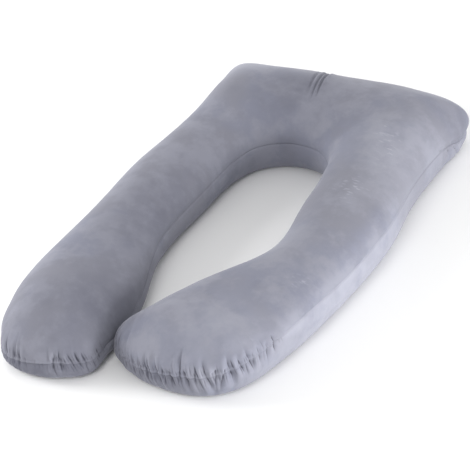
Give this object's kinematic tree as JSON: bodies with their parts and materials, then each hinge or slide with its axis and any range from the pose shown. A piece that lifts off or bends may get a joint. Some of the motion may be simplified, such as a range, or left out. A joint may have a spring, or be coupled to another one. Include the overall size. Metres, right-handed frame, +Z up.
{
  "type": "body pillow",
  "caption": "U-shaped full-body pillow in grey-blue short velvet, lying flat with its legs side by side and gathered seams at their ends.",
  "frame": {"origin": "middle of the base: the centre of the pillow's outline as seen from above, on the floor it lies on", "axes": "+Z up; +Y along the length, towards the closed head end; the legs lie side by side along X"},
  "size_m": [0.7855, 1.4395, 0.2098],
  "materials": {
    "velvet_cloth": "matte short-pile velvet"
  },
  "bodies": {
    "root": {"body_pillow": "velvet_cloth"}
  },
  "joints": []
}
